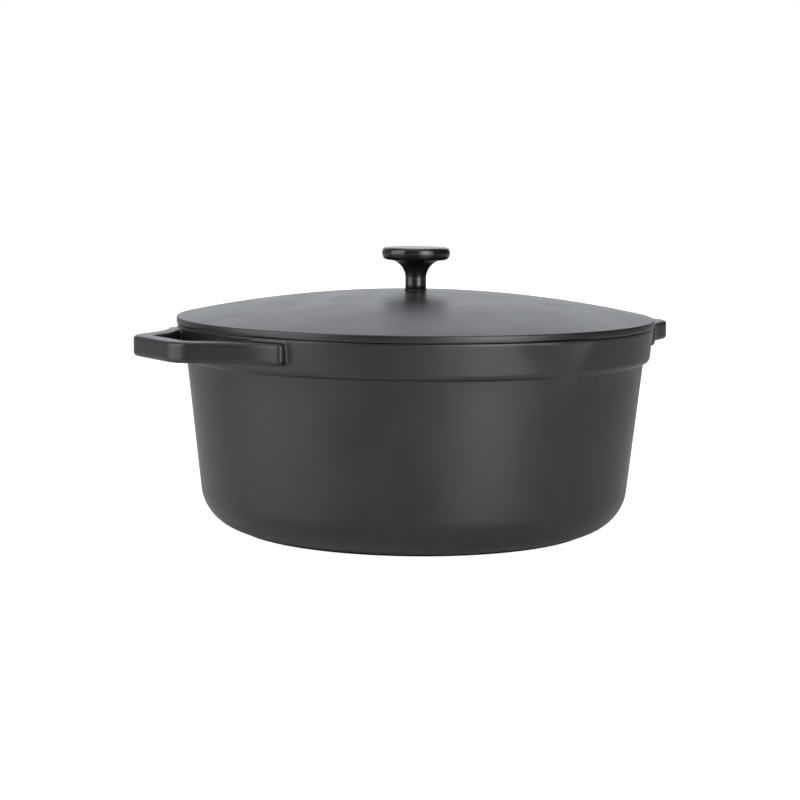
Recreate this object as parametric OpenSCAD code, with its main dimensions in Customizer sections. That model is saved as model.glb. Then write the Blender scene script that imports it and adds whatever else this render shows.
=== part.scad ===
// Round cast iron dutch oven: a tapered pot with a thick rim band, two loop handles
// and two pour spouts, and a domed lid with a screwed-on knob.
// Millimetres. The origin is the centre of the base, on the surface the pot stands on.
// +Z is up, the handles lie along X and the spouts along Y.

/* [Pot] */
// Outer diameter of the rim band at its top
rim_d = 299; // [280:1:320]
// Height of the rim above the surface
pot_h = 128.2; // [110:0.2:150]
// Thickness of the wall and of the base
wall_t = 5; // [4:0.5:6]
// Lean of the wall from vertical, in degrees
wall_lean = 6.2; // [4:0.1:8]
// Outer radius of the corner between the wall and the base
corner_r = 26.8; // [20:0.2:34]

/* [Rim band] */
// Height of the rim band
band_h = 21.4; // [19:0.1:26]
// How much narrower the band is at its foot than at its top
band_draft = 2.1; // [1:0.1:3]
// Step from the band's foot in to the wall
band_step = 3.7; // [3:0.1:5]

/* [Foot] */
// Outer diameter of the ring that the pot stands on
foot_d = 225; // [220:1:234]
// Width of the ring
foot_w = 12; // [8:1:16]
// How far the ring stands down below the rounded corner
foot_h = 0.6; // [0.3:0.1:1]
// Depth of the recess inside the ring
foot_recess = 0.8; // [0.5:0.1:1.5]

/* [Pour spouts] */
// Radius of a spout's lobe at the rim
spout_r = 42; // [38:1:46]
// How far a lobe stands out past the rim band
spout_reach = 6; // [4:0.5:7]
// Thickness of a spout's lip
spout_lip_t = 4.5; // [4:0.5:5.5]

/* [Handles] */
// Distance from the pot's centre to a handle's outer face
handle_reach = 185.2; // [182:0.1:190]
// Width of the bar, seen from above
bar_w = 12.2; // [11:0.2:14]
// Thickness of the bar, top to bottom
bar_t = 12.3; // [10:0.1:13]
// Rounding of the bar's edges
bar_edge_r = 2.2; // [1:0.2:3]
// Half the length of a handle's straight outer bar
bar_straight = 18.4; // [16:0.2:22]

/* [Lid] */
// Outer diameter of the lid
lid_d = 300; // [280:1:320]
// Height of the lid's upright edge
lid_edge_h = 4.3; // [3.5:0.1:6]
// Rise of the dome above the edge
dome_rise = 16.1; // [12:0.1:20]
// Thickness of the lid
lid_t = 5; // [4:0.5:6]
// Depth of the ring that keeps the lid centred on the pot
locator_h = 4.5; // [3:0.5:7]

/* [Knob] */
// Diameter of the knob
knob_d = 43.2; // [38:0.2:48]
// Height of the knob
knob_h = 26.5; // [24:0.1:30]
// Thickness of the knob's rim
knob_rim_t = 7.9; // [7:0.1:10]
// Diameter of the knob's stem
stem_d = 13.2; // [12:0.1:14]

/* [Knob fixing] */
// Thickness of the gasket between the knob and the lid
gasket_t = 0.8; // [0.6:0.1:1.2]
// Nominal diameter of the screw
screw_d = 6; // [6:1:6]
// Length of the screw under its head
screw_l = 20; // [18:1:22]

/* [Hidden] */
$fn = 96;

iron = [0.13, 0.13, 0.14];
phenolic = [0.06, 0.06, 0.065];
brass = [0.78, 0.62, 0.32];
steel = [0.72, 0.72, 0.74];
rubber = [0.09, 0.09, 0.09];
overlap = 1;            // how far a cutter runs past the face that it opens

// Pot
rim_r = rim_d / 2;
band_foot_z = pot_h - band_h;
band_foot_r = rim_r - band_draft;
band_edge_r = 2.2;
rim_bevel = 0.8;
wall_top_r = band_foot_r - band_step;
inner_top_r = wall_top_r - wall_t;
// Centre of the corner's arcs, placed so that the leaning wall is tangent to them
corner_z = corner_r + foot_h;
corner_c = [wall_top_r - corner_r * cos(wall_lean)
            - (band_foot_z - corner_z + corner_r * sin(wall_lean)) * tan(wall_lean), corner_z];
foot_r = foot_d / 2;
foot_turn = acos((foot_r - corner_c[0]) / corner_r);    // where the corner's arc meets the ring's edge
floor_z = corner_z - corner_r + wall_t;

// Pour spouts
spout_c = rim_r + spout_reach - spout_r;
spout_h = 28;           // from the rim down to where the lobe has sunk into the wall
spout_flare = 13;       // how much a lobe widens over that height

// Handles
bar_z = band_foot_z + band_h / 2 + 1.95;
elbow_out_r = 19.2;     // outer radius of the bend at each end of the outer bar
elbow_turn = 58;
arm_l = 13;
flare_r = 83.4;         // radius of the bar's centre line where it spreads along the band
flare_turn = 29.5;
elbow_c = [handle_reach - elbow_out_r, bar_straight];
arm_side = [cos(elbow_turn), sin(elbow_turn)];
arm_end = elbow_c + (elbow_out_r - bar_w / 2) * arm_side + arm_l * [-arm_side[1], arm_side[0]];
// Stations along half of the bar's centre line, each [x, y, angle that the bar's outer side faces]
half_stations = concat(
    stations(elbow_c, elbow_out_r - bar_w / 2, 0, elbow_turn, 6, 0),
    stations(arm_end + flare_r * arm_side, flare_r,
             180 + elbow_turn, 180 + elbow_turn - flare_turn, 5, 180));
bar_stations = concat(
    [for (i = [len(half_stations) - 1:-1:0]) let (s = half_stations[i]) [s[0], -s[1], -s[2]]],
    half_stations);
bar_corner = [bar_w / 2 - bar_edge_r, bar_t / 2 - bar_edge_r];
corner_signs = [[1, 1], [-1, 1], [-1, -1], [1, -1]];
// Section of the bar, across it and up: a rectangle with round edges
bar_section = [for (q = [0:3])
    each arc([corner_signs[q][0] * bar_corner[0], corner_signs[q][1] * bar_corner[1]],
             bar_edge_r, 90 * q, 90 * q + 90, 2)];

// Lid
lid_r = lid_d / 2;
seat_z = pot_h;
edge_top_z = seat_z + lid_edge_h;
dome_r = (lid_r * lid_r + dome_rise * dome_rise) / (2 * dome_rise);
edge_bevel = 0.5;
pad_r = 9;              // flat spot under the knob
pad_z = dome_z(pad_r);
boss_r = 15;
boss_z = pad_z - lid_t - 2;
locator_out_r = inner_top_r - 1;
locator_w = 4;
nub_rings = [[45, 6], [80, 12], [112, 18]];    // [ring radius, number of nubs]
nub_h = 3.2;
nub_root_r = 4;
nub_tip_r = 1.8;

// Knob and its fixing, stacked along Z
stem_r = stem_d / 2;
knob_z = pad_z + gasket_t;
knob_top_z = knob_z + knob_h;
knob_r = knob_d / 2;
knob_side_r = knob_r - 0.3;
knob_edge_r = 2.4;
knob_under_edge_r = 3.2;
neck_r = knob_side_r - knob_under_edge_r - 0.1 - stem_r;    // hollow curve from the stem out to the rim
neck_c = [stem_r + neck_r, knob_top_z - knob_rim_t - neck_r];
insert_r = 4.5;
insert_h = 12;
insert_z = knob_z + 0.5;
insert_groove = 0.6;
screw_r = screw_d / 2;
clear_r = screw_r + 0.25;
thread_gap = 0.05;
flat_washer_t = 1.2;
flat_washer_r = 7;
lock_washer_t = 1.5;
lock_washer_r = 5.4;
lock_washer_split = 12; // angle of the gap in the lock washer
flat_washer_z = boss_z - flat_washer_t;
lock_washer_z = flat_washer_z - lock_washer_t;
screw_head_r = 6;
screw_head_h = 3.6;
drive_l = 5.6;
drive_w = 1.3;
drive_depth = 1.9;

// Points along an arc of radius r about centre c, from angle a to angle b
function arc(c, r, a, b, steps = 8) =
    [for (i = [0:steps]) c + r * [cos(a + (b - a) * i / steps), sin(a + (b - a) * i / steps)]];

// Stations along an arc, each [x, y, angle of the side that faces away from centre c, turned by flip]
function stations(c, r, a, b, steps, flip) =
    [for (i = [0:steps]) let (angle = a + (b - a) * i / steps, p = c + r * [cos(angle), sin(angle)])
        [p[0], p[1], angle - flip]];

// Height of the lid's upper surface at distance r from the centre
function dome_z(r) = edge_top_z + dome_rise - dome_r + sqrt(dome_r * dome_r - r * r);

// ---- Pot ----

// Half section of the pot, filled as if it were solid
module pot_outline() {
    polygon(concat(
        [[0, foot_recess], [foot_r - foot_w - 1, foot_recess], [foot_r - foot_w, 0], [foot_r, 0]],
        arc(corner_c, corner_r, -foot_turn, -wall_lean),
        [[wall_top_r, band_foot_z]],
        arc([band_foot_r - band_edge_r, band_foot_z + band_edge_r], band_edge_r, -90, 0, 3),
        [[rim_r, pot_h - rim_bevel], [rim_r - rim_bevel, pot_h], [0, pot_h]]));
}

// Half section of the space inside the pot
module cavity_outline() {
    polygon(concat(
        [[0, floor_z]],
        arc(corner_c, corner_r - wall_t, -90, -wall_lean),
        [[inner_top_r - 0.5, band_foot_z], [inner_top_r, pot_h - rim_bevel],
         [inner_top_r + rim_bevel, pot_h], [inner_top_r + rim_bevel, pot_h + overlap], [0, pot_h + overlap]]));
}

// Cone of one spout, inset from the lobe's own surface, running above the rim by rise
module spout_cone(inset, rise) {
    widen = spout_flare / spout_h;
    translate([0, spout_c, pot_h - spout_h])
        cylinder(h = spout_h + rise, r1 = spout_r - inset - spout_flare,
                 r2 = spout_r - inset + widen * rise);
}

module both_spouts() {
    children();
    mirror([0, 1, 0]) children();
}

// One handle, on the +X side: its bar's section swept from one foot to the other
module handle() {
    sides = len(bar_section);
    last = len(bar_stations) - 1;
    points = [for (station = bar_stations, point = bar_section)
        [station[0] + point[0] * cos(station[2]), station[1] + point[0] * sin(station[2]), bar_z + point[1]]];
    walls = [for (i = [0:last - 1], j = [0:sides - 1])
        let (k = (j + 1) % sides)
        [i * sides + j, i * sides + k, (i + 1) * sides + k, (i + 1) * sides + j]];
    first_end = [for (j = [sides - 1:-1:0]) j];
    last_end = [for (j = [0:sides - 1]) last * sides + j];
    polyhedron(points, concat([first_end, last_end], walls));
}

module pot_body() {
    color(iron) difference() {
        union() {
            rotate_extrude() pot_outline();
            both_spouts() spout_cone(0, 0);
            handle();
            mirror([1, 0, 0]) handle();
        }
        rotate_extrude() cavity_outline();
        both_spouts() spout_cone(spout_lip_t, overlap);
    }
}

// ---- Lid ----

module lid_section() {
    upper_r = [for (i = [0:16]) pad_r + (lid_r - edge_bevel - pad_r) * i / 16];
    under_r = [for (i = [0:16]) locator_out_r - locator_w - (locator_out_r - locator_w - boss_r) * i / 16];
    locator_z = seat_z - locator_h;
    polygon(concat(
        [[clear_r, pad_z]],
        [for (r = upper_r) [r, dome_z(r)]],
        [[lid_r, edge_top_z - edge_bevel], [lid_r, seat_z + edge_bevel], [lid_r - edge_bevel, seat_z],
         [locator_out_r, seat_z], [locator_out_r - 0.5, locator_z], [locator_out_r - locator_w + 0.5, locator_z]],
        [for (r = under_r) [r, dome_z(r) - lid_t]],
        [[boss_r - 1, boss_z], [clear_r, boss_z]]));
}

// One drip nub under the lid at distance r from the centre, its root sunk in the lid
module nub(r) {
    sink = 2;
    translate([r, 0, dome_z(r) - lid_t - nub_h])
        cylinder(h = nub_h + sink, r1 = nub_tip_r, r2 = nub_root_r, $fn = 32);
}

module lid() {
    color(iron) {
        rotate_extrude() lid_section();
        for (ring = nub_rings, i = [0:ring[1] - 1])
            rotate([0, 0, (i + 0.5) * 360 / ring[1]]) nub(ring[0]);
    }
}

// ---- Knob and its fixing ----

module knob() {
    under_z = knob_top_z - knob_rim_t;
    color(phenolic) rotate_extrude() polygon(concat(
        [[insert_r, knob_z], [stem_r, knob_z]],
        arc(neck_c, neck_r, 180, 90),
        arc([knob_side_r - knob_under_edge_r, under_z + knob_under_edge_r], knob_under_edge_r, -90, 0, 5),
        [[knob_r, knob_top_z - knob_rim_t / 2]],
        arc([knob_side_r - knob_edge_r, knob_top_z - knob_edge_r], knob_edge_r, 0, 90, 3),
        [[0, knob_top_z], [0, insert_z + insert_h], [insert_r, insert_z + insert_h]]));
}

module knob_threaded_insert() {
    bore_r = screw_r + thread_gap;
    color(brass) translate([0, 0, insert_z]) rotate_extrude() polygon([
        [bore_r, 0], [insert_r, 0], [insert_r, insert_h * 0.42], [insert_r - insert_groove, insert_h * 0.46],
        [insert_r - insert_groove, insert_h * 0.54], [insert_r, insert_h * 0.58],
        [insert_r, insert_h], [bore_r, insert_h]]);
}

// A flat ring standing on z
module ring(z, inner_r, outer_r, thickness) {
    translate([0, 0, z]) rotate_extrude() translate([inner_r, 0]) square([outer_r - inner_r, thickness]);
}

module knob_gasket() {
    color(rubber) ring(pad_z, clear_r, stem_r + 0.4, gasket_t);
}

module knob_flat_washer() {
    color(steel) ring(flat_washer_z, clear_r, flat_washer_r, flat_washer_t);
}

module knob_lock_washer() {
    color(steel) translate([0, 0, lock_washer_z]) rotate([0, 0, lock_washer_split / 2])
        rotate_extrude(angle = 360 - lock_washer_split)
            translate([clear_r, 0]) square([lock_washer_r - clear_r, lock_washer_t]);
}

module knob_screw() {
    head_z = lock_washer_z - screw_head_h;
    crown_r = 1.6;
    tip_z = lock_washer_z + screw_l;
    color(steel) difference() {
        rotate_extrude() polygon(concat(
            [[0, head_z]],
            arc([screw_head_r - crown_r, head_z + crown_r], crown_r, -90, 0, 5),
            [[screw_head_r, lock_washer_z], [screw_r, lock_washer_z],
             [screw_r, tip_z - 0.8], [screw_r - 0.8, tip_z], [0, tip_z]]));
        for (turn = [0, 90])
            rotate([0, 0, turn]) translate([-drive_l / 2, -drive_w / 2, head_z - overlap])
                cube([drive_l, drive_w, drive_depth + overlap]);
    }
}

pot_body();
lid();
knob();
knob_threaded_insert();
knob_gasket();
knob_screw();
knob_lock_washer();
knob_flat_washer();
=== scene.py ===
import math
import bmesh
import bpy
import numpy as np
from mathutils import Matrix, Vector


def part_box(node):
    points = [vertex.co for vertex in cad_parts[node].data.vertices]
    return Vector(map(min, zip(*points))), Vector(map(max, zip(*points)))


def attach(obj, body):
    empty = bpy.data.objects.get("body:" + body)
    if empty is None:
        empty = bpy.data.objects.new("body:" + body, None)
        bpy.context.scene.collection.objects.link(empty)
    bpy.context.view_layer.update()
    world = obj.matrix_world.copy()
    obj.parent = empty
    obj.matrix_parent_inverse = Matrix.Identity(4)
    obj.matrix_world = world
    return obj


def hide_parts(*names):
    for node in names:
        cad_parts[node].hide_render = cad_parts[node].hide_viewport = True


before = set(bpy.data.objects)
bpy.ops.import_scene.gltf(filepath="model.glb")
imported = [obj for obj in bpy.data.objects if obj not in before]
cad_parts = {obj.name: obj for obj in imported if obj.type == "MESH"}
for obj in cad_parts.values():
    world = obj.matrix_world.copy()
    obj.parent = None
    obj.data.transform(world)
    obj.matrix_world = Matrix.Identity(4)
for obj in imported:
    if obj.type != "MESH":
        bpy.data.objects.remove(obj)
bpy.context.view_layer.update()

# The object's sizes are in millimetres, and meshes are scaled to metres as they are made.
MM = 0.001


def box_mm(node):
    """A CAD node's lowest and highest corners."""
    low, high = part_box(node)
    return np.array(low) / MM, np.array(high) / MM


# ---- Sizes taken from the frame ----

HANDLE_REACH, SPOUT_TIP, POT_H = box_mm("pot_body")[1]
LID_R, _, PAD_Z = box_mm("lid")[1]
knob_low, knob_high = box_mm("knob")
gasket_low, gasket_high = box_mm("knob_gasket")

# ---- Driving sizes, as the part has them, and sizes that follow from them ----

# Pot
RIM_R = 149.5
WALL_T = 5.0
WALL_LEAN = math.radians(6.2)
CORNER_R = 26.8
BAND_H = 21.4
BAND_DRAFT = 2.1
BAND_STEP = 3.7
BAND_FOOT_Z = POT_H - BAND_H
BAND_FOOT_R = RIM_R - BAND_DRAFT
BAND_EDGE_R = 2.2
STEP_ROOT_R = 1.2
RIM_EDGE_R = 0.9
WALL_TOP_R = BAND_FOOT_R - BAND_STEP
INNER_TOP_R = WALL_TOP_R - WALL_T
INNER_DRAFT = 0.5       # how much narrower the inside is at the foot of the band than at the rim
FOOT_R = 112.5
FOOT_W = 12.0
FOOT_H = 0.6
FOOT_RECESS = 0.8
FOOT_EDGE_R = 0.4
# The slope from the recess to the foot ring: steps in from the ring, and parts of the recess's depth.
FOOT_IN_SIDE = ((3, 1), (1.9, 0.9), (0.9, 0.45))
CORNER_Z = CORNER_R + FOOT_H
CORNER_C = (WALL_TOP_R - CORNER_R * math.cos(WALL_LEAN)
            - (BAND_FOOT_Z - CORNER_Z + CORNER_R * math.sin(WALL_LEAN)) * math.tan(WALL_LEAN), CORNER_Z)
FLOOR_Z = CORNER_Z - CORNER_R + WALL_T

# Pour spouts
SPOUT_R = 42.0
SPOUT_LIP_T = 4.5
SPOUT_H = 28.0
SPOUT_FLARE = 13.0
SPOUT_BLEND = 4.0       # width over which a spout melts into the band
SPOUT_CLEAR = 6.0       # how far below a spout the wall is plain again
SPOUT_C = SPOUT_TIP - SPOUT_R

# Handles
BAR_W = 12.2
BAR_T = 12.3
BAR_EDGE_R = 2.2
BAR_LIFT = 1.95         # height of the bar's middle above the band's middle
BAR_Z = BAND_FOOT_Z + BAND_H / 2 + BAR_LIFT
BAR_STRAIGHT = 18.4
ELBOW_OUT_R = 19.2
ELBOW_TURN = math.radians(58)
ARM_L = 13.0
FLARE_R = 83.4
FLARE_TURN = math.radians(29.5)
FOOT_CORNER_R = 2.4     # rounding of the upright edge at the end of a handle's foot
FILLET_R = 1.5          # fillet between a handle and the band

# Lid
LID_EDGE_H = 4.3
DOME_RISE = 16.1
LID_T = 5.0
LID_EDGE_R = 0.9
LOCATOR_H = 4.5
LOCATOR_W = 4.0
LOCATOR_OUT_R = INNER_TOP_R - 1
LOCATOR_EDGE_R = 1.0
LOCATOR_DRAFT = 0.4
LOCATOR_ROOT = ((0, 1.5), (0.6, 0.6))   # steps in from the locating ring and down from the lid
LOCATOR_CLEAR = 2.2     # where the lid's plain underside starts, inside the locating ring
DOME_R = (LID_R ** 2 + DOME_RISE ** 2) / (2 * DOME_RISE)
PAD_R = 9.0
PAD_BLEND = 1.0         # how far on each side of its edge the pad runs into the dome
BOSS_R = 15.0
BOSS_Z = PAD_Z - LID_T - 2
BOSS_EDGE_R = 0.6
BOSS_ROOT_R = 1.6
BOSS_ROOT_MID = 0.5
SCREW_HOLE_R = 3.25
HOLE_EDGE = 0.2         # broken edge of the screw's hole

# Knob
KNOB_R = knob_high[0]
KNOB_BULGE = 0.3        # how far the middle of the rim stands out
KNOB_SIDE_R = KNOB_R - KNOB_BULGE
KNOB_RIM_T = 7.9
KNOB_EDGE_R = 2.4
KNOB_UNDER_EDGE_R = 3.2
KNOB_UNDER_FLAT = 0.1
STEM_R = 6.6
STEM_EDGE = 0.3
STEM_ROW = 3.0          # height of a row of mesh above the stem's foot
NECK_R = KNOB_SIDE_R - KNOB_UNDER_EDGE_R - KNOB_UNDER_FLAT - STEM_R
INSERT_R = 4.5
INSERT_DEPTH = 12.5

# Screw, washers and insert
BROKEN_EDGE = 0.15      # bevel on the edges of the screw and washers

# Camera, in metres, millimetres of lens and radians
CAMERA_DISTANCE = 1.2973
CAMERA_HEIGHT = 0.2315
CAMERA_LENS = 92.62
CAMERA_SENSOR = 36
CAMERA_ROUND = math.radians(33.6)
CAMERA_PAN = 0.0071
CAMERA_TILT = 0.1171
CAMERA_ROLL = 0.0093

# Light. Turns are in degrees to the right of the camera, seen from the pot, and lengths are in metres.
NARROW, WIDE = (0.77, 0.98), (0.2, 0.9)     # cosines at which a glow starts and is full
SKY_BASE = 0.06
SKY_COLOR = (0.955, 0.99, 1.045)
SKY_GLOWS = (       # turn, rise above the horizon in degrees, reach and brightness
    (180, 4, NARROW, 0.4),
    (180, 34, NARROW, 0.82),
    (0, 90, NARROW, 1.4),
    (-100, 10, WIDE, 0.3),
    (0, 10, WIDE, 0.15))
SOFTBOX_COLOR = (0.97, 1.0, 1.02)
SOFTBOXES = (       # name, turn, distance, height, width, tall and brightness
    ("key_wide", 36, 1.3, 0.46, 1.1, 0.9, 3.1),
    ("key_core", 34, 1.28, 0.46, 0.5, 0.9, 3.0),
    ("key_high", 35, 1.5, 1.1, 0.9, 0.9, 1.1),
    ("fill_wide", -66, 1.3, 0.46, 1.2, 0.9, 2.6),
    ("fill_high", -57, 1.5, 1.1, 0.9, 0.9, 2.4))

# Floor
STAGE_R = 6
STAGE_DROP = 0.0002     # how far the floor lies below the pot's foot, in metres
FLOOR_LIT = 0.82        # how pale the floor is to light and reflections
FLOOR_SEEN = 0.66       # how pale it is to the camera, which also sees it glow
FLOOR_GLOW = 0.9
FLOOR_SHEEN_ROUGHNESS = 0.22


# ---- Outlines ----

def arc(center, radius, start, end, steps):
    """Points on an arc of a half section, with angles in degrees."""
    turns = np.radians(np.linspace(start, end, steps + 1))
    return [(center[0] + radius * math.cos(t), center[1] + radius * math.sin(t)) for t in turns]


def line(start, end, steps):
    """Points from start to end, without the end itself."""
    return [tuple(np.array(start) + (np.array(end) - start) * i / steps) for i in range(steps)]


def smooth_max(a, b, width):
    """The larger of a and b, rounded where they cross."""
    near = np.maximum(width - np.abs(a - b), 0) / width
    return np.maximum(a, b) + near * near * width / 4


# ---- Meshes ----

def tidy_mesh(mesh):
    """Drops unused points and turns every face outward."""
    work = bmesh.new()
    work.from_mesh(mesh)
    bmesh.ops.delete(work, geom=[v for v in work.verts if not v.link_faces], context="VERTS")
    bmesh.ops.recalc_face_normals(work, faces=work.faces)
    work.to_mesh(mesh)
    work.free()


def make_piece(name, points, faces, body, node, slot):
    """A smooth-shaded mesh that stands for a CAD node and rides on its body."""
    mesh = bpy.data.meshes.new(name)
    mesh.from_pydata((np.asarray(points) * MM).tolist(), [], faces)
    mesh.validate()
    tidy_mesh(mesh)
    mesh.shade_smooth()
    piece = bpy.data.objects.new(name, mesh)
    bpy.context.scene.collection.objects.link(piece)
    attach(piece, body)
    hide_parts(node)
    return piece


def ring_faces(lower, upper):
    """Quads between two closed loops of vertex numbers."""
    count = len(lower)
    return [(lower[i], lower[(i + 1) % count], upper[(i + 1) % count], upper[i]) for i in range(count)]


def quad(number, k, c):
    """The face between rows k and k + 1 and columns c and c + 1 of a grid of vertex numbers."""
    next_k, next_c = (k + 1) % number.shape[0], (c + 1) % number.shape[1]
    return number[k, c], number[k, next_c], number[next_k, next_c], number[next_k, c]


def lathe(outline, columns):
    """Points and faces of an outline turned about Z. Its ends lie on the axis, or it is a closed loop."""
    outline = np.array(outline)
    turns = np.linspace(0, 2 * math.pi, columns, endpoint=False)
    on_axis = outline[0][0] < 1e-6 and outline[-1][0] < 1e-6
    rows = outline[1:-1] if on_axis else outline
    points = [(r * math.cos(t), r * math.sin(t), z) for r, z in rows for t in turns]
    loops = [list(range(k * columns, (k + 1) * columns)) for k in range(len(rows))]
    faces = [face for a, b in zip(loops, loops[1:]) for face in ring_faces(a, b)]
    if on_axis:
        first, last = len(points), len(points) + 1
        points += [(0, 0, outline[0][1]), (0, 0, outline[-1][1])]
        faces += [(first, loops[0][(i + 1) % columns], loops[0][i]) for i in range(columns)]
        faces += [(last, loops[-1][i], loops[-1][(i + 1) % columns]) for i in range(columns)]
    else:
        faces += ring_faces(loops[-1], loops[0])
    return points, faces


# ---- Pot ----

BLOCK_ROWS = 12         # rows and columns of the band's mesh that one foot of a handle takes up
BLOCK_COLUMNS = 22
BLOCK_SPARE = 0.5       # band below a handle's fillet that the block takes in
BLOCK_LOW_Z = BAR_Z - BAR_T / 2 - FILLET_R - BLOCK_SPARE
BLOCK_HIGH_Z = POT_H - RIM_EDGE_R
BLOCK_START = math.radians(13.5)
BLOCK_END = math.radians(28.6)
SPOUT_START = math.radians(62)


def band_r(z):
    """Radius of the band's outer face at height z."""
    return BAND_FOOT_R + BAND_DRAFT * (z - BAND_FOOT_Z) / BAND_H


def outer_rows():
    """Half section of the pot's outside, from the axis up to the start of the rim's rounding."""
    foot_in_r = FOOT_R - FOOT_W
    foot_flat_r = FOOT_R - FOOT_EDGE_R
    foot_in_side = [(foot_in_r - step, FOOT_RECESS * part) for step, part in FOOT_IN_SIDE]
    foot_turn = math.degrees(math.acos((FOOT_R - CORNER_C[0]) / CORNER_R))
    wall_foot = arc(CORNER_C, CORNER_R, -foot_turn, -math.degrees(WALL_LEAN), 20)
    root_z = BAND_FOOT_Z - STEP_ROOT_R
    root_r = WALL_TOP_R - STEP_ROOT_R * math.tan(WALL_LEAN)
    edge_c = (BAND_FOOT_R - BAND_EDGE_R, BAND_FOOT_Z + BAND_EDGE_R)
    return (line((0, FOOT_RECESS), foot_in_side[0], 6)
            + foot_in_side + [(foot_in_r, 0)]
            + line((foot_in_r + 2 * FOOT_EDGE_R, 0), (foot_flat_r, 0), 4)
            + arc((foot_flat_r, FOOT_EDGE_R), FOOT_EDGE_R, -90, 0, 3)
            + wall_foot
            + line(wall_foot[-1], (root_r, root_z), 7)[1:]
            + arc((root_r + STEP_ROOT_R, root_z), STEP_ROOT_R, 180, 90, 4)
            + arc(edge_c, BAND_EDGE_R, -90, 0, 7)[:-1]
            + line((band_r(edge_c[1]), edge_c[1]), (band_r(BLOCK_LOW_Z), BLOCK_LOW_Z), 2)
            + line((band_r(BLOCK_LOW_Z), BLOCK_LOW_Z), (band_r(BLOCK_HIGH_Z), BLOCK_HIGH_Z), BLOCK_ROWS)
            + [(band_r(BLOCK_HIGH_Z), BLOCK_HIGH_Z)])


def inner_rows():
    """Half section of the pot's inside, from just under the rim's rounding down to the axis."""
    top_z = POT_H - RIM_EDGE_R
    floor = arc(CORNER_C, CORNER_R - WALL_T, -90, -math.degrees(WALL_LEAN), 16)
    neck = (INNER_TOP_R - INNER_DRAFT, BAND_FOOT_Z)
    return (line((INNER_TOP_R, top_z), neck, 12) + line(neck, floor[-1], 8) + floor[::-1]
            + line((CORNER_C[0], FLOOR_Z), (0, FLOOR_Z), 6)[1:] + [(0, FLOOR_Z)])


def spout_wall(turns, z, inset):
    """Distance from the pot's axis out to the cone of the nearer spout, at heights z."""
    swing = np.abs(np.abs(turns) - math.pi / 2)
    cone_r = SPOUT_R - inset - SPOUT_FLARE * (POT_H - z) / SPOUT_H
    chord = np.maximum(cone_r ** 2 - (SPOUT_C * np.sin(swing)) ** 2, 0)
    return np.where(swing < math.pi / 4, SPOUT_C * np.cos(swing) + np.sqrt(chord), 0)


def with_spouts(rows, turns, inset):
    """Radii all round of a half section's rows, let out where the spouts are."""
    radius, z = rows[:, :1], rows[:, 1:]
    melted = smooth_max(radius + 0 * turns, spout_wall(turns, z, inset), SPOUT_BLEND)
    return np.where(z < POT_H - SPOUT_H - SPOUT_CLEAR, radius, melted)


def quarter_turns():
    """Angles of the mesh columns from 0 to 90 degrees, closer together at a handle's foot and a spout."""
    spans = ((0, BLOCK_START, 14), (BLOCK_START, BLOCK_END, BLOCK_COLUMNS),
             (BLOCK_END, SPOUT_START, 34), (SPOUT_START, math.pi / 2, 50))
    turns = [np.linspace(start, end, columns, endpoint=False) for start, end, columns in spans]
    return np.concatenate(turns)


def all_turns(quarter):
    """The columns of one quarter, mirrored into all four, from -180 to 180 degrees."""
    half = np.concatenate([quarter, [math.pi / 2], math.pi - quarter[:0:-1]])
    return np.concatenate([half - math.pi, half])


def pot_grid(turns):
    """Points of the pot's turned surface: an array of rows, columns and coordinates."""
    outer, inner = np.array(outer_rows()), np.array(inner_rows())
    t = turns[None, :]
    outer_z, inner_z = outer[:, 1:], inner[:, 1:]
    outer_r, inner_r = with_spouts(outer, t, 0), with_spouts(inner, t, SPOUT_LIP_T)
    rounding = arc((0, 0), RIM_EDGE_R, 0, 90, 4)[1:]
    edge = POT_H - RIM_EDGE_R
    lip_out = [(outer_r[-1] - RIM_EDGE_R + r, edge + z + 0 * turns) for r, z in rounding]
    lip_in = [(inner_r[0] + RIM_EDGE_R - r, edge + z + 0 * turns) for r, z in rounding[::-1]]
    flat = [(lip_out[-1][0] * (1 - i / 4) + lip_in[0][0] * i / 4, POT_H + 0 * turns) for i in range(1, 4)]
    rim = lip_out + flat + lip_in
    radius = np.concatenate([outer_r, [r for r, z in rim], inner_r])
    height = np.concatenate([outer_z + 0 * t, [z for r, z in rim], inner_z + 0 * t])
    return np.stack([radius * np.cos(t), radius * np.sin(t), height], -1)


# ---- Handles: the outline of one half, seen from above ----

def bearing(angle):
    """The direction at an angle, in plan."""
    return np.array([math.cos(angle), math.sin(angle)])


def angle_of(vector):
    return math.atan2(vector[1], vector[0])


ELBOW_C = np.array([HANDLE_REACH - ELBOW_OUT_R, BAR_STRAIGHT])
ARM_DIR = bearing(ELBOW_TURN + math.pi / 2)
FLARE_C = ELBOW_C + ARM_L * ARM_DIR + (ELBOW_OUT_R - BAR_W / 2 + FLARE_R) * bearing(ELBOW_TURN)
LAND_R = band_r(BAR_Z)      # radius at which the handles meet the band
BAR_STEPS, ELBOW_STEPS, ARM_STEPS = 11, 13, 5
EVEN_STATIONS = BAR_STEPS + ELBOW_STEPS + ARM_STEPS + 1     # where both sides of the bar run together
FLARE_STEP = 1.2
FOOT_CORNER_STEPS = 8


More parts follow.
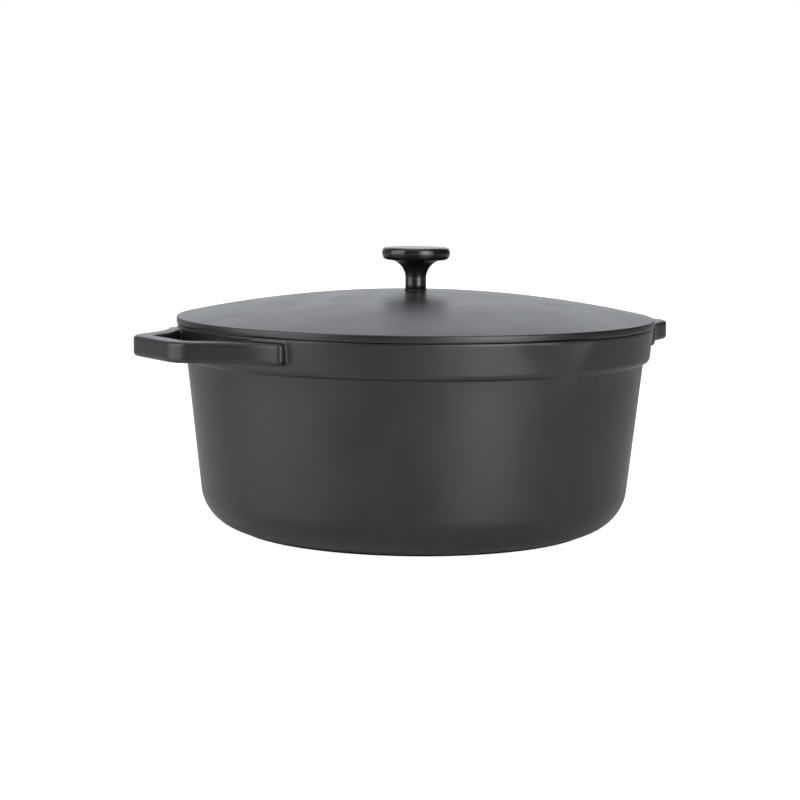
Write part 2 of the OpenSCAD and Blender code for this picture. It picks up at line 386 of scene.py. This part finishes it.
def bar_side(inset):
    """One side of the bar, from the middle of the handle round to its foot. Inset 0 is the outer side."""
    elbow_r = ELBOW_OUT_R - inset
    flare_r = FLARE_R - BAR_W / 2 + inset
    along = np.linspace(0, BAR_STRAIGHT, BAR_STEPS + 1)[:-1]
    bar = [np.array([HANDLE_REACH - inset, y]) for y in along]
    elbow = [ELBOW_C + elbow_r * bearing(a) for a in np.linspace(0, ELBOW_TURN, ELBOW_STEPS + 1)]
    arm = [elbow[-1] + ARM_DIR * d for d in np.linspace(0, ARM_L, ARM_STEPS + 1)[1:]]
    start = math.pi + ELBOW_TURN
    steps = round(flare_r * FLARE_TURN / FLARE_STEP)
    turns = np.linspace(start, start - FLARE_TURN, steps + 1)[1:]
    flare = [FLARE_C + flare_r * bearing(a) for a in turns]
    return np.array(bar + elbow + arm + flare)


OUTER_SIDE = bar_side(0)
INNER_SIDE = bar_side(BAR_W)


def crossing(path, radius):
    """Where a path coming in from outside first reaches a radius about Z: its index and the point."""
    r = np.hypot(path[:, 0], path[:, 1])
    i = int(np.argmax(r < radius))
    part = (r[i - 1] - radius) / (r[i - 1] - r[i])
    return i, path[i - 1] + (path[i] - path[i - 1]) * part


def turn_about(center, start, end, radius, steps=10):
    """Points round a fillet's arc, from angle start to angle end."""
    return np.array([center + radius * bearing(a) for a in np.linspace(start, end, steps + 1)])


def along_band(start, end):
    """Points along the band, from angle start to angle end."""
    return np.array([LAND_R * bearing(a) for a in np.linspace(start, end, 8)[1:]])


def foot_end():
    """The foot's rounded upright edge and its end face, in to the end of the bar's inner side."""
    tip = OUTER_SIDE[-1]
    along = bearing(ELBOW_TURN - FLARE_TURN + math.pi / 2)
    inward = -bearing(ELBOW_TURN - FLARE_TURN)
    center = tip + FOOT_CORNER_R * (inward - along)
    edge = turn_about(center, angle_of(-inward), angle_of(along), FOOT_CORNER_R, FOOT_CORNER_STEPS)
    face = [edge[-1] + inward * d for d in np.linspace(0, BAR_W - FOOT_CORNER_R, 12)[1:]]
    return np.concatenate([edge, face]), along


def side_to_foot():
    """The outer side, up to where the foot's upright edge starts."""
    clear = np.linalg.norm(OUTER_SIDE - OUTER_SIDE[-1], axis=1) > FOOT_CORNER_R
    return OUTER_SIDE[clear]


def handle_outline():
    """Half of a handle seen from above, as a closed loop that runs on past the middle and into the band."""
    spare = 12
    end, _ = foot_end()
    start = [[HANDLE_REACH, -spare]]
    finish = [[HANDLE_REACH - BAR_W, -spare]]
    return np.concatenate([start, side_to_foot(), end[:-1], INNER_SIDE[::-1], finish])


def outer_route():
    """The outer side as the rings follow it: round the foot's end, down its fillet and along the band."""
    end, along = foot_end()
    _, center = crossing(end[FOOT_CORNER_STEPS:] + FILLET_R * along, LAND_R + FILLET_R)
    i, _ = crossing(end, np.linalg.norm(center - FILLET_R * along))
    whole = 2 * math.pi
    fillet = turn_about(center, angle_of(-along) + whole, angle_of(-center) + whole, FILLET_R)
    band = along_band(angle_of(center), BLOCK_END)
    return np.concatenate([side_to_foot(), end[:i], fillet, band])


def inner_route():
    """The inner side as the rings follow it: to the end of the finger hole and back along the band."""
    _, center = crossing(bar_side(BAR_W + FILLET_R), LAND_R + FILLET_R)
    to_bar = angle_of(FLARE_C - center)
    fillet = turn_about(center, to_bar, angle_of(center) + math.pi, FILLET_R, steps=14)
    band = along_band(angle_of(center), BLOCK_START)
    near = [p for p in INNER_SIDE if np.dot(p - fillet[0], bearing(to_bar - math.pi / 2)) > 0]
    return np.concatenate([near, fillet, band])


# ---- Handles: the surface ----

HANDLE_RINGS = 48       # rings from where the bar starts to spread to the band
EVENED_BAR_RINGS = 4    # rings of the plain bar that are evened out along with them


def spaced(path, parts):
    """Points at those parts of a path's length."""
    step = np.linalg.norm(np.diff(path, axis=0), axis=1)
    run = np.concatenate([[0], np.cumsum(step)])
    return np.stack([np.interp(np.asarray(parts) * run[-1], run, path[:, k]) for k in (0, 1)], -1)


def plan_distance(points, loop):
    """Distance in plan from a closed loop, below zero inside it."""
    start, end = loop, np.roll(loop, -1, axis=0)
    edge = end - start
    to_point = points[:, None, :] - start[None]
    part = np.clip((to_point * edge).sum(-1) / np.maximum((edge * edge).sum(-1), 1e-12), 0, 1)
    gap = to_point - part[..., None] * edge
    nearest = np.sqrt((gap * gap).sum(-1).min(1))
    above = start[None, :, 1] > points[:, None, 1]
    crosses = above != (end[None, :, 1] > points[:, None, 1])
    rise = np.where(np.abs(edge[:, 1]) < 1e-12, 1e-12, edge[:, 1])
    side = points[:, None, 0] < start[:, 0] + edge[:, 0] * (points[:, None, 1] - start[:, 1]) / rise
    inside = (crosses & side).sum(1) % 2 == 1
    return np.where(inside, -nearest, nearest)


def handle_distance(points, loop):
    """Distance from the surface of the bar and band together, with a fillet where they meet."""
    plan = plan_distance(points[:, :2], loop) + BAR_EDGE_R
    upright = np.abs(points[:, 2] - BAR_Z) - BAR_T / 2 + BAR_EDGE_R
    bar = (np.minimum(np.maximum(plan, upright), 0)
           + np.hypot(np.maximum(plan, 0), np.maximum(upright, 0)) - BAR_EDGE_R)
    band = np.hypot(points[:, 0], points[:, 1]) - band_r(points[:, 2])
    return (np.maximum(FILLET_R, np.minimum(bar, band))
            - np.hypot(np.maximum(FILLET_R - bar, 0), np.maximum(FILLET_R - band, 0)))


def settled(points, loop, rounds):
    """The points moved along the distance's slope onto the surface."""
    reach, least_slope = 0.02, 0.5
    for _ in range(rounds):
        here = handle_distance(points, loop)
        rises = [handle_distance(points + reach * axis, loop) - here for axis in np.eye(3)]
        slope = np.stack(rises, -1) / reach
        size = np.maximum((slope * slope).sum(-1), least_slope ** 2)
        points = points - (here / size)[:, None] * slope
    return points


def settled_rings(rings, loop, rounds):
    """The rings moved onto the surface. The last one lies on the band and stays where it is."""
    moved = settled(rings[:-1].reshape(-1, 3), loop, rounds)
    return np.concatenate([moved.reshape(rings[:-1].shape), rings[-1:]])


def ring(inner, outer, inner_z, outer_z):
    """A closed loop round the bar: over the top, down the outer side, under and up the inner side."""
    across = np.arange(BLOCK_COLUMNS) / BLOCK_COLUMNS
    down = np.arange(BLOCK_ROWS) / BLOCK_ROWS
    start_r, end_r = np.linalg.norm(inner), np.linalg.norm(outer)
    start_a, end_a = angle_of(inner), angle_of(outer)

    def side(parts, low, high):
        r, a = start_r + (end_r - start_r) * parts, start_a + (end_a - start_a) * parts
        return np.stack([r * np.cos(a), r * np.sin(a), low + (high - low) * parts], -1)

    top = side(across, inner_z[1], outer_z[1])
    under = side(1 - across, inner_z[0], outer_z[0])
    outside = [(outer[0], outer[1], outer_z[1] + (outer_z[0] - outer_z[1]) * d) for d in down]
    inside = [(inner[0], inner[1], inner_z[0] + (inner_z[1] - inner_z[0]) * d) for d in down]
    return np.concatenate([top, outside, under, inside])


def eased_z(part):
    """Lowest and highest z of a ring's edge that is part of the way from the bar to the block's edge."""
    low, high = BAR_Z - BAR_T / 2, BAR_Z + BAR_T / 2
    return low + (BLOCK_LOW_Z - low) * part, high + (BLOCK_HIGH_Z - high) * part


def near_band(point):
    """How far a point has gone down the fillet to the band, from 0 to 1."""
    return np.clip(1 - (math.hypot(*point) - LAND_R) / FILLET_R, 0, 1)


def half_handle():
    """Rings of points from the middle of a handle out to the edge of its block in the band's mesh."""
    outer, inner = outer_route(), inner_route()
    parts = np.linspace(0, 1, HANDLE_RINGS + 1)[1:]
    outer_spread = spaced(outer[EVEN_STATIONS - 1:], parts)
    inner_spread = spaced(inner[EVEN_STATIONS - 1:], parts)
    rings = [ring(a, b, eased_z(0), eased_z(0))
             for a, b in zip(inner[:EVEN_STATIONS], outer[:EVEN_STATIONS])]
    rings += [ring(a, b, eased_z(near_band(a)), eased_z(near_band(b)))
              for a, b in zip(inner_spread, outer_spread)]
    rings = np.array(rings)
    rings[-1, :, :2] *= (band_r(rings[-1, :, 2]) / LAND_R)[:, None]
    return rings


def relaxed(rings, first, loop, rounds=10):
    """The rings from number first on, evened out along the surface. The last one stays where it is."""
    last = len(rings) - 1
    first_ease, full_ease, growth = 0.1, 0.6, 1 / 6
    ease = np.zeros((len(rings), 1, 1))
    ease[first:-1, 0, 0] = np.minimum(np.arange(last - first) * growth + first_ease, full_ease)
    for _ in range(rounds):
        beside = (np.roll(rings, 1, 1) + np.roll(rings, -1, 1)) / 4
        ahead = (rings[np.r_[0, 0:last]] + rings[np.r_[1:last + 1, last]]) / 4
        rings = settled_rings(rings + ease * (beside + ahead - rings), loop, 1)
    return rings


def handle_rings():
    """The rings of half a handle, settled onto its surface and evened out."""
    loop = handle_outline()
    rings = settled_rings(half_handle(), loop, 6)
    rings = relaxed(rings, EVEN_STATIONS - EVENED_BAR_RINGS, loop)
    rings = settled_rings(rings, loop, 3)
    rings[0, :, 1] = 0
    return rings


# ---- Pot: the whole mesh ----

def block_columns(turns):
    """For each column of the mesh, whether it lies in the block of a handle's foot."""
    swing = np.abs(turns[:, None] - np.array([0, math.pi, -math.pi])).min(1)
    middle = (swing + np.roll(swing, -1)) / 2
    return (BLOCK_START < middle) & (middle < BLOCK_END)


def stitched(points, rings, edge, first):
    """Adds half a handle's points. Returns its rings as vertex numbers, the last one taken from the edge."""
    loops = [first] if first else []
    for ring_points in rings[len(loops):-1]:
        loops.append(list(range(len(points), len(points) + len(ring_points))))
        points += ring_points.tolist()
    edge_points = np.array([points[n] for n in edge])
    gaps = np.linalg.norm(edge_points[None] - rings[-1][:, None], axis=2)
    return loops + [[int(edge[n]) for n in gaps.argmin(1)]]


def pot_mesh():
    """Points and faces of the pot: the turned surface, with the handles stitched into its blocks."""
    turns = all_turns(quarter_turns())
    grid = pot_grid(turns)
    rows, columns = grid.shape[:2]
    points = grid.reshape(-1, 3).tolist()
    number = np.arange(rows * columns).reshape(rows, columns)
    band_top = len(outer_rows()) - 1
    block_rows = range(band_top - BLOCK_ROWS, band_top)
    in_block = block_columns(turns)
    faces = [quad(number, k, c) for k in range(1, rows - 2) for c in range(columns)
             if not (k in block_rows and in_block[c])]
    faces += [(number[0, 0], number[1, (c + 1) % columns], number[1, c]) for c in range(columns)]
    faces += [(number[-1, 0], number[-2, c], number[-2, (c + 1) % columns]) for c in range(columns)]

    rings = handle_rings()
    band = number[block_rows[0]:band_top + 1].ravel()
    for mirror_x in (1, -1):
        middle = None
        for mirror_y in (1, -1):
            half = rings * np.array([mirror_x, mirror_y, 1])
            loops = stitched(points, half, band, middle)
            middle = loops[0]
            faces += [face for a, b in zip(loops, loops[1:]) for face in ring_faces(a, b)]
    return points, faces


# ---- Lid ----

EDGE_TOP_Z = POT_H + LID_EDGE_H
DOME_C_Z = EDGE_TOP_Z + DOME_RISE - DOME_R
NUB_RINGS = ((112, 18, 8), (80, 12, 10), (45, 6, 16))   # ring radius, nubs in it, mesh columns for each
NUB_BLOCK = 5.6         # half the length of the block of mesh that a nub takes up, towards the centre
NUB_ROWS = 8
NUB_GAP = 6.0           # from a ring of blocks in to a row of mesh of its own
NUB_SHAPE = ((5.2, 0), (4.7, 0.07), (4.25, 0.3), (3.9, 0.7), (3.2, 1.7), (2.55, 2.65),
             (2.2, 2.98), (1.7, 3.14), (0.9, 3.2))      # distance from a nub's axis and depth below the lid
LID_COLUMNS = 432       # a multiple of the number of nubs in each ring
SEAT_ROW_R, OUTER_ROW_R, BOSS_ROW_R = 143, 128, 24      # rows of mesh that only keep its faces small


def dome_z(r, inset=0.0):
    """Height of the lid's domed face at distance r from the axis, inset from the upper face."""
    return DOME_C_Z + math.sqrt((DOME_R - inset) ** 2 - r * r)


def under_z(r):
    """Height of the lid's underside at distance r from the axis."""
    return dome_z(r) - LID_T


def lid_outline():
    """Closed half section of the lid, from the screw's hole out over the top and back underneath."""
    edge_r = LID_R - LID_EDGE_R
    slope = math.degrees(math.asin(LID_R / DOME_R))
    top = [(r, dome_z(r)) for r in np.linspace(PAD_R + PAD_BLEND, edge_r - 0.5, 26)]
    locator_z = POT_H - LOCATOR_H
    locator_in_r = LOCATOR_OUT_R - LOCATOR_W
    edge, inset = LOCATOR_EDGE_R, LOCATOR_EDGE_R + LOCATOR_DRAFT
    under_r = [locator_in_r - LOCATOR_CLEAR, OUTER_ROW_R]
    for radius, _, _ in NUB_RINGS:
        under_r += list(np.linspace(radius + NUB_BLOCK, radius - NUB_BLOCK, NUB_ROWS + 1))
        under_r += [radius - NUB_BLOCK - NUB_GAP]
    under_r += [BOSS_ROW_R, BOSS_R + BOSS_ROOT_R]
    return ([(SCREW_HOLE_R, PAD_Z - HOLE_EDGE), (SCREW_HOLE_R + HOLE_EDGE, PAD_Z)]
            + [(PAD_R - PAD_BLEND, PAD_Z)] + top
            + arc((edge_r, dome_z(edge_r, LID_EDGE_R)), LID_EDGE_R, 90 - slope, 0, 6)
            + arc((edge_r, POT_H + LID_EDGE_R), LID_EDGE_R, 0, -90, 6)
            + [(SEAT_ROW_R, POT_H)]
            + arc((LOCATOR_OUT_R + edge, POT_H - edge), edge, 90, 180, 4)
            + arc((LOCATOR_OUT_R - inset, locator_z + edge), edge, 0, -90, 5)
            + arc((locator_in_r + inset, locator_z + edge), edge, -90, -180, 5)
            + [(locator_in_r - step, under_z(locator_in_r) - drop) for step, drop in LOCATOR_ROOT]
            + [(r, under_z(r)) for r in under_r]
            + [(BOSS_R + BOSS_ROOT_MID, under_z(BOSS_R) - BOSS_ROOT_MID)]
            + arc((BOSS_R - BOSS_EDGE_R, BOSS_Z + BOSS_EDGE_R), BOSS_EDGE_R, 0, -90, 4)
            + [(SCREW_HOLE_R + HOLE_EDGE, BOSS_Z), (SCREW_HOLE_R, BOSS_Z + HOLE_EDGE)])


def block_border(number, first, left, right):
    """The vertex numbers round a nub's block of mesh, as a closed loop."""
    columns = number.shape[1]
    last = first + NUB_ROWS
    return ([number[first, c % columns] for c in range(left, right)]
            + [number[k, right % columns] for k in range(first, last)]
            + [number[last, c % columns] for c in range(right, left, -1)]
            + [number[k, left % columns] for k in range(last, first, -1)])


def add_nub(points, loop, center):
    """Adds a nub's points inside the border of its block. Returns its faces."""
    bearings = [angle_of(np.array(points[n][:2]) - center) for n in loop]
    faces = []
    for distance, depth in NUB_SHAPE:
        ring_points = [center + distance * bearing(a) for a in bearings]
        upper, loop = loop, list(range(len(points), len(points) + len(loop)))
        points += [(x, y, under_z(math.hypot(x, y)) - depth) for x, y in ring_points]
        faces += ring_faces(upper, loop)
    tip = len(points)
    points.append((*center, under_z(math.hypot(*center)) - NUB_SHAPE[-1][1]))
    return faces + [(loop[n], loop[(n + 1) % len(loop)], tip) for n in range(len(loop))]


def lid_mesh():
    """Points and faces of the lid: the turned surface, with a nub stitched into each of its blocks."""
    outline = np.array(lid_outline())
    rows, columns = len(outline), LID_COLUMNS
    turns = np.linspace(0, 2 * math.pi, columns, endpoint=False)
    points = [(r * math.cos(t), r * math.sin(t), z) for r, z in outline for t in turns]
    number = np.arange(rows * columns).reshape(rows, columns)
    taken, faces = set(), []
    for radius, count, width in NUB_RINGS:
        start = (radius + NUB_BLOCK, under_z(radius + NUB_BLOCK))
        first = int(np.argmin(np.linalg.norm(outline - start, axis=1)))
        for i in range(count):
            middle = round((i + 0.5) * columns / count)
            left, right = middle - width // 2, middle + width // 2
            taken |= {(k, c % columns) for k in range(first, first + NUB_ROWS) for c in range(left, right)}
            border = block_border(number, first, left, right)
            faces += add_nub(points, border, radius * bearing(turns[middle % columns]))
    faces += [quad(number, k, c) for k in range(rows) for c in range(columns) if (k, c) not in taken]
    return points, faces


# ---- Knob and gasket ----

def knob_outline():
    """Half section of the knob, from the middle of its top out, down and in to the insert's hole."""
    low, high = knob_low[2], knob_high[2]
    rim_low = high - KNOB_RIM_T
    neck_c = (STEM_R + NECK_R, rim_low - NECK_R)
    under_c = (KNOB_SIDE_R - KNOB_UNDER_EDGE_R, rim_low + KNOB_UNDER_EDGE_R)
    insert_top = low + INSERT_DEPTH
    return (line((0, high), (KNOB_SIDE_R - KNOB_EDGE_R, high), 6)
            + arc((KNOB_SIDE_R - KNOB_EDGE_R, high - KNOB_EDGE_R), KNOB_EDGE_R, 90, 0, 8)
            + [(KNOB_R, high - KNOB_RIM_T / 2)]
            + arc(under_c, KNOB_UNDER_EDGE_R, 0, -90, 10)
            + arc(neck_c, NECK_R, 90, 180, 20)
            + [(STEM_R, low + STEM_ROW), (STEM_R, low + STEM_EDGE), (STEM_R - STEM_EDGE, low),
               (INSERT_R, low), (INSERT_R, insert_top), (0, insert_top)])


def gasket_outline():
    """Closed half section of the gasket, with a rounded outer edge."""
    low, high, r = gasket_low[2], gasket_high[2], gasket_high[0]
    bulge = (high - low) / 2
    return ([(SCREW_HOLE_R, low), (r - bulge, low)]
            + arc((r - bulge, low + bulge), bulge, -60, 60, 5)
            + [(r - bulge, high), (SCREW_HOLE_R, high)])


pot = make_piece("pot_casting", *pot_mesh(), "pot", "pot_body", "black_iron")
lid = make_piece("lid_casting", *lid_mesh(), "lid", "lid", "black_iron")
knob = make_piece("knob_moulding", *lathe(knob_outline(), 192), "lid", "knob", "knob_black")
gasket = make_piece("gasket_ring", *lathe(gasket_outline(), 96), "lid", "knob_gasket", "gasket_rubber")


# ---- Materials ----

class Tree:
    """A node tree, with short calls to add and link its nodes."""

    def __init__(self, tree):
        self.tree = tree

    def link(self, start, end):
        self.tree.links.new(start, end)

    def node(self, kind, **values):
        """A new node. Each value is a socket to link to an input, an input's value or a setting."""
        made = self.tree.nodes.new(kind)
        for name, value in values.items():
            if isinstance(value, bpy.types.NodeSocket):
                self.link(value, made.inputs[name])
            elif name in made.inputs:
                made.inputs[name].default_value = value
            else:
                setattr(made, name, value)
        return made

    def mapped(self, value, low, high, start=0.3, end=0.7, **settings):
        """The value's range from start to end, stretched to low to high. Most noise lies in 0.3 to 0.7."""
        made = self.node("ShaderNodeMapRange", Value=value, **settings)
        for name, number in (("From Min", start), ("From Max", end), ("To Min", low), ("To Max", high)):
            made.inputs[name].default_value = number
        return made.outputs["Result"]

    def mixed_shader(self, factor, first, second):
        mix = self.node("ShaderNodeMixShader")
        for number, socket in enumerate((factor, first, second)):
            self.link(socket, mix.inputs[number])
        return mix.outputs[0]


class Shader(Tree):
    """A material of the object: its principled shader, and the nodes that drive it."""

    def __init__(self, name, metallic=0.0):
        self.material = bpy.data.materials.new(name)
        self.material.use_nodes = True
        super().__init__(self.material.node_tree)
        self.shader = self.tree.nodes["Principled BSDF"]
        self.shader.inputs["Metallic"].default_value = metallic

    def drive(self, name, socket):
        """Links a socket to one of the shader's inputs."""
        self.link(socket, self.shader.inputs[name])

    def noise(self, scale, detail=3.0, roughness=0.5, coords=None):
        """Noise in the object's own coordinates. The scale is per metre."""
        coords = coords or self.node("ShaderNodeTexCoord").outputs["Object"]
        return self.node("ShaderNodeTexNoise", Vector=coords, Scale=scale, Detail=detail,
                         Roughness=roughness).outputs["Fac"]

    def mixed(self, factor, low, high):
        """A colour between two others."""
        made = self.node("ShaderNodeMix", data_type="RGBA")
        self.link(factor, made.inputs["Factor"])
        for name, color in (("A", low), ("B", high)):
            socket = [s for s in made.inputs if s.name == name and s.type == "RGBA"][0]
            socket.default_value = (*color, 1)
        return [s for s in made.outputs if s.type == "RGBA"][0]

    def bump(self, height, strength, distance, normal=None):
        """A bump on top of another one, if there is one. The distance is in metres."""
        made = self.node("ShaderNodeBump", Height=height, Strength=strength, Distance=distance)
        if normal:
            self.link(normal, made.inputs["Normal"])
        return made.outputs["Normal"]


def black_iron():
    """Satin black cast iron: a fine sand-cast grain under a thin coat, with slow unevenness."""
    s = Shader("black_iron")
    cloud = s.noise(35, 4)
    grain = s.noise(1500, 3, 0.6)
    pits = s.noise(520, 2, 0.5)
    slow = s.noise(22, 2)
    s.drive("Base Color", s.mixed(s.mapped(cloud, 0, 1), (0.0065, 0.0069, 0.0073), (0.0110, 0.0116, 0.0122)))
    s.drive("Roughness", s.mapped(cloud, 0.31, 0.37))
    normal = s.bump(slow, 0.12, 0.0008)
    normal = s.bump(pits, 0.08, 0.0002, normal)
    normal = s.bump(grain, 0.18, 0.00006, normal)
    s.drive("Normal", normal)
    return s.material


def knob_black():
    """Moulded black phenolic with a satin gloss."""
    s = Shader("knob_black")
    cloud = s.noise(60, 3)
    s.drive("Base Color", s.mixed(s.mapped(cloud, 0, 1), (0.006, 0.006, 0.0065), (0.010, 0.010, 0.011)))
    s.drive("Roughness", s.mapped(s.noise(90, 3), 0.13, 0.17))
    s.drive("Normal", s.bump(s.noise(700, 2), 0.03, 0.00003))
    return s.material


def gasket_rubber():
    """Matte black rubber."""
    s = Shader("gasket_rubber")
    cloud = s.noise(300)
    s.drive("Base Color", s.mixed(s.mapped(cloud, 0, 1), (0.012, 0.012, 0.012), (0.022, 0.022, 0.022)))
    s.drive("Roughness", s.mapped(s.noise(700), 0.65, 0.8))
    return s.material


def turned_metal(name, low, high, roughness):
    """Turned or stamped metal with fine tool rings."""
    s = Shader(name, metallic=1.0)
    coords = s.node("ShaderNodeTexCoord").outputs["Object"]
    rings = s.node("ShaderNodeTexWave", wave_type="RINGS", rings_direction="Z", Vector=coords,
                   Scale=900.0, Distortion=1.5, Detail=2.0).outputs["Fac"]
    s.drive("Base Color", s.mixed(s.mapped(s.noise(250, 3, coords=coords), 0, 1), low, high))
    s.drive("Roughness", s.mapped(rings, roughness, roughness + 0.12, 0, 1))
    s.drive("Normal", s.bump(rings, 0.15, 0.00003))
    return s.material


def paint(piece, material):
    piece.data.materials.clear()
    piece.data.materials.append(material)


iron = black_iron()
brass = turned_metal("insert_brass", (0.62, 0.44, 0.18), (0.78, 0.60, 0.30), 0.3)
steel = turned_metal("fixing_steel", (0.52, 0.52, 0.54), (0.66, 0.66, 0.68), 0.28)
paint(pot, iron)
paint(lid, iron)
paint(knob, knob_black())
paint(gasket, gasket_rubber())
paint(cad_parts["knob_threaded_insert"], brass)
for fixing in ("knob_screw", "knob_lock_washer", "knob_flat_washer"):
    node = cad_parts[fixing]
    paint(node, steel)
    edges = node.modifiers.new("broken_edges", "BEVEL")
    edges.width = BROKEN_EDGE * MM
    edges.segments = 2


# ---- Camera, floor and light ----

def toward_camera(turn, distance, height):
    """A place at that distance from the pot, turned by degrees to the right of the camera."""
    a = CAMERA_ROUND - math.radians(turn)
    return Vector((-distance * math.sin(a), -distance * math.cos(a), height))


def make_camera():
    data = bpy.data.cameras.new("camera")
    data.lens = CAMERA_LENS
    data.sensor_width = CAMERA_SENSOR
    camera = bpy.data.objects.new("camera", data)
    bpy.context.scene.collection.objects.link(camera)
    place = Matrix.Translation(toward_camera(0, CAMERA_DISTANCE, CAMERA_HEIGHT))
    turn = Matrix.Rotation(CAMERA_PAN - CAMERA_ROUND, 4, "Z")
    tip = Matrix.Rotation(math.pi / 2 - CAMERA_TILT, 4, "X")
    roll = Matrix.Rotation(CAMERA_ROLL, 4, "Z")
    camera.matrix_world = place @ turn @ tip @ roll
    bpy.context.scene.camera = camera


def softbox(name, turn, distance, height, width, tall, brightness):
    """An upright soft light that faces the pot."""
    data = bpy.data.lights.new(name, "AREA")
    data.shape = "RECTANGLE"
    data.size, data.size_y = width, tall
    data.energy = brightness * math.pi * width * tall
    data.color = SOFTBOX_COLOR
    lamp = bpy.data.objects.new(name, data)
    lamp.location = toward_camera(turn, distance, height)
    facing = Vector((0, 0, height)) - lamp.location
    lamp.rotation_euler = facing.to_track_quat("-Z", "Y").to_euler()
    lamp.visible_camera = False
    bpy.context.scene.collection.objects.link(lamp)


def split_by_ray(tree, seen, lit):
    """A shader that the camera sees as one thing while other rays meet another."""
    path = tree.node("ShaderNodeLightPath")
    return tree.mixed_shader(path.outputs["Is Camera Ray"], lit, seen)


def make_world():
    """White as the camera sees it. The pot is lit by broad soft glows instead."""
    world = bpy.data.worlds.new("studio")
    bpy.context.scene.world = world
    world.use_nodes = True
    tree = Tree(world.node_tree)
    direction = tree.node("ShaderNodeTexCoord").outputs["Generated"]
    base = tree.node("ShaderNodeValue")
    base.outputs[0].default_value = SKY_BASE
    strength = base.outputs[0]
    for turn, rise, reach, brightness in SKY_GLOWS:
        tilt = math.radians(rise)
        dot = tree.node("ShaderNodeVectorMath", operation="DOT_PRODUCT")
        tree.link(direction, dot.inputs[0])
        dot.inputs[1].default_value = toward_camera(turn, math.cos(tilt), math.sin(tilt))
        glow = tree.mapped(dot.outputs["Value"], 0, brightness, *reach, interpolation_type="SMOOTHSTEP")
        total = tree.node("ShaderNodeMath", operation="ADD")
        tree.link(strength, total.inputs[0])
        tree.link(glow, total.inputs[1])
        strength = total.outputs[0]
    lit = tree.node("ShaderNodeBackground", Color=(*SKY_COLOR, 1), Strength=strength)
    seen = tree.node("ShaderNodeBackground", Color=(1, 1, 1, 1))
    surface = split_by_ray(tree, seen.outputs[0], lit.outputs[0])
    tree.link(surface, world.node_tree.nodes["World Output"].inputs["Surface"])


def floor_material():
    """Pale with a soft sheen. The camera sees it close to white, and all rays from below pass through."""
    material = bpy.data.materials.new("floor")
    material.use_nodes = True
    tree = Tree(material.node_tree)
    pale = tree.node("ShaderNodeBsdfDiffuse", Color=(FLOOR_LIT, FLOOR_LIT, FLOOR_LIT, 1))
    gloss = tree.node("ShaderNodeBsdfGlossy", Roughness=FLOOR_SHEEN_ROUGHNESS)
    fresnel = tree.node("ShaderNodeFresnel")
    lit = tree.mixed_shader(fresnel.outputs[0], pale.outputs[0], gloss.outputs[0])
    shaded = tree.node("ShaderNodeBsdfDiffuse", Color=(FLOOR_SEEN, FLOOR_SEEN, FLOOR_SEEN, 1))
    glow = tree.node("ShaderNodeEmission", Strength=FLOOR_GLOW)
    seen = tree.node("ShaderNodeAddShader")
    tree.link(shaded.outputs[0], seen.inputs[0])
    tree.link(glow.outputs[0], seen.inputs[1])
    from_above = split_by_ray(tree, seen.outputs[0], lit)
    backfacing = tree.node("ShaderNodeNewGeometry").outputs["Backfacing"]
    clear = tree.node("ShaderNodeBsdfTransparent")
    surface = tree.mixed_shader(backfacing, from_above, clear.outputs[0])
    tree.link(surface, material.node_tree.nodes["Material Output"].inputs["Surface"])
    return material


def make_floor():
    """A round floor just below the pot's foot."""
    place = (0, 0, -STAGE_DROP)
    bpy.ops.mesh.primitive_circle_add(vertices=64, radius=STAGE_R, fill_type="NGON", location=place)
    floor = bpy.context.object
    floor.name = "floor"
    floor.data.materials.append(floor_material())


make_camera()
make_world()
make_floor()
for box in SOFTBOXES:
    softbox(*box)
bpy.context.scene.view_settings.view_transform = "Standard"
